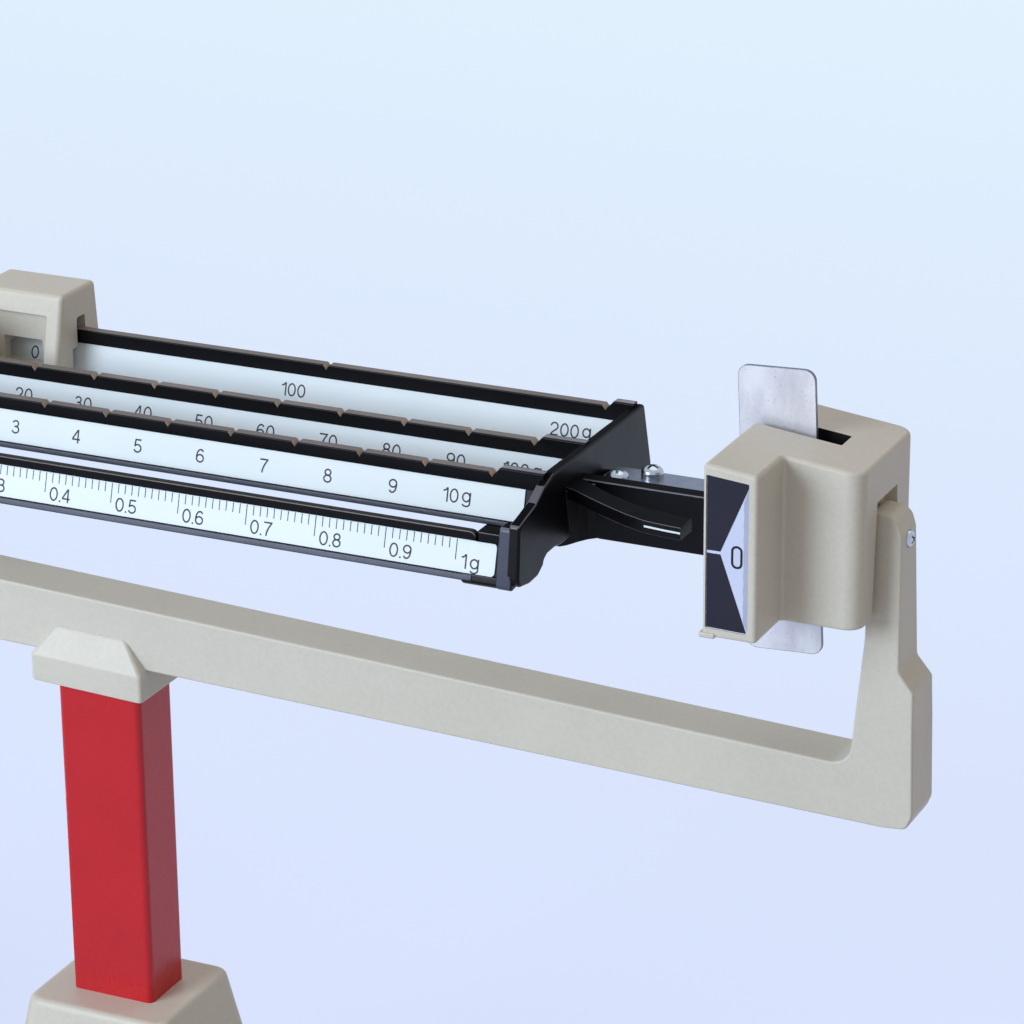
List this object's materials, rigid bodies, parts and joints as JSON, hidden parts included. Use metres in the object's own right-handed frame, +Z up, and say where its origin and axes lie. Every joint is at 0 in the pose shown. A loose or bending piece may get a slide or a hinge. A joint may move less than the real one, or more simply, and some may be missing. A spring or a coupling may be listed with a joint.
{
  "type": "beam balance",
  "caption": "Mechanical beam balance: graduated rails with sliding poises on a knife-edge fulcrum, pan in a hanging bow, damped pointer, inclined frame, post and broad base.",
  "frame": {"origin": "on the table under the middle of the bounding box", "axes": "+X along the beams towards the pointer, +Y to the back, +Z up"},
  "size_m": [0.4084, 0.132, 0.2495],
  "materials": {
    "beige_paint": "satin",
    "black_paint": "semi-gloss",
    "red_paint": "semi-gloss",
    "zinc_steel": "plated",
    "bearing_steel": "ground",
    "bright_steel": "polished",
    "vane_aluminium": "satin",
    "brass": "turned",
    "nickel": "knurled, plated",
    "black_enamel": "black enamel",
    "scale_white": "matt",
    "label_white": "matt",
    "magnet_black": "matt",
    "black_rubber": "matt"
  },
  "bodies": {
    "stand": {"base_casting": "beige_paint", "post_tube": "red_paint", "frame_casting": "beige_paint", "tie_bolt": "zinc_steel", "tie_nut": "zinc_steel", "fixed_feet": "black_rubber", "fulcrum_bearings": "bearing_steel", "bearing_covers": "bearing_steel", "cover_screws": "zinc_steel", "indicator_housing": "beige_paint", "label_plate": "label_white", "housing_screw": "zinc_steel", "magnet_yoke": "zinc_steel", "damper_magnets": "magnet_black"},
    "foot_pad": {"foot_pad": "black_rubber"},
    "levelling_screw": {"levelling_screw": "zinc_steel"},
    "beam": {"beam_casting": "black_enamel", "scale_strip_200": "scale_white", "scale_strip_100": "scale_white", "scale_strip_10": "scale_white", "scale_strip_1": "scale_white", "fulcrum_knife": "bearing_steel", "pan_knife": "bearing_steel", "vane": "vane_aluminium", "vane_screws": "zinc_steel", "zero_stud": "zinc_steel"},
    "zero_bush": {"zero_bush": "brass"},
    "zero_knob": {"zero_knob": "nickel"},
    "poise_200": {"poise_200": "beige_paint", "poise_200_rider": "zinc_steel"},
    "poise_100": {"poise_100": "beige_paint", "poise_100_rider": "zinc_steel"},
    "poise_10": {"poise_10": "beige_paint", "poise_10_rider": "zinc_steel"},
    "poise_1": {"poise_1": "beige_paint"},
    "hanger": {"hanger_head": "black_paint", "hanger_bearings": "bearing_steel", "hanger_rivets": "zinc_steel", "hanger_bow": "bright_steel", "pan_rest": "bright_steel"},
    "pan": {"pan": "bright_steel"}
  },
  "joints": [
    {"name": "beam_rock", "type": "hinge", "parent": "stand", "child": "beam", "pos_m": [-0.09825, 0, 0.2215], "axis": [0, 1, 0], "range_deg": [-2.6, 2.6]},
    {"name": "hanger_swing", "type": "hinge", "parent": "beam", "child": "hanger", "pos_m": [-0.15425, 0, 0.2215], "axis": [0, 1, 0], "range_deg": [-10, 10]},
    {"name": "pan_lift", "type": "slide", "parent": "hanger", "child": "pan", "axis": [0, 0, 1], "range_m": [0, 0.03]},
    {"name": "poise_200_slide", "type": "slide", "parent": "beam", "child": "poise_200", "axis": [1, 0, 0], "range_m": [0, 0.1478]},
    {"name": "poise_100_slide", "type": "slide", "parent": "beam", "child": "poise_100", "axis": [1, 0, 0], "range_m": [0, 0.167]},
    {"name": "poise_10_slide", "type": "slide", "parent": "beam", "child": "poise_10", "axis": [1, 0, 0], "range_m": [0, 0.167]},
    {"name": "poise_1_slide", "type": "slide", "parent": "beam", "child": "poise_1", "axis": [1, 0, 0], "range_m": [0, 0.177]},
    {"name": "zero_knob_turn", "type": "hinge", "parent": "zero_bush", "child": "zero_knob", "pos_m": [-0.17325, 0, 0.2195], "axis": [1, 0, 0], "range_deg": [-2950, 2950]},
    {"name": "zero_bush_travel", "type": "slide", "parent": "beam", "child": "zero_bush", "axis": [1, 0, 0], "range_m": [-0.004, 0.004]},
    {"name": "foot_pad_travel", "type": "slide", "parent": "stand", "child": "foot_pad", "axis": [0, 0, 1], "range_m": [-0.004, 0]},
    {"name": "levelling_screw_turn", "type": "hinge", "parent": "foot_pad", "child": "levelling_screw", "pos_m": [0.04725, 0, 0.0075], "axis": [0, 0, 1], "range_deg": [-1500, 50]}
  ],
  "couplings": [
    {"joint": "zero_knob_turn", "follows": "zero_bush_travel", "rad_per_m": 12566},
    {"joint": "levelling_screw_turn", "follows": "foot_pad_travel", "rad_per_m": 6283.2}
  ]
}
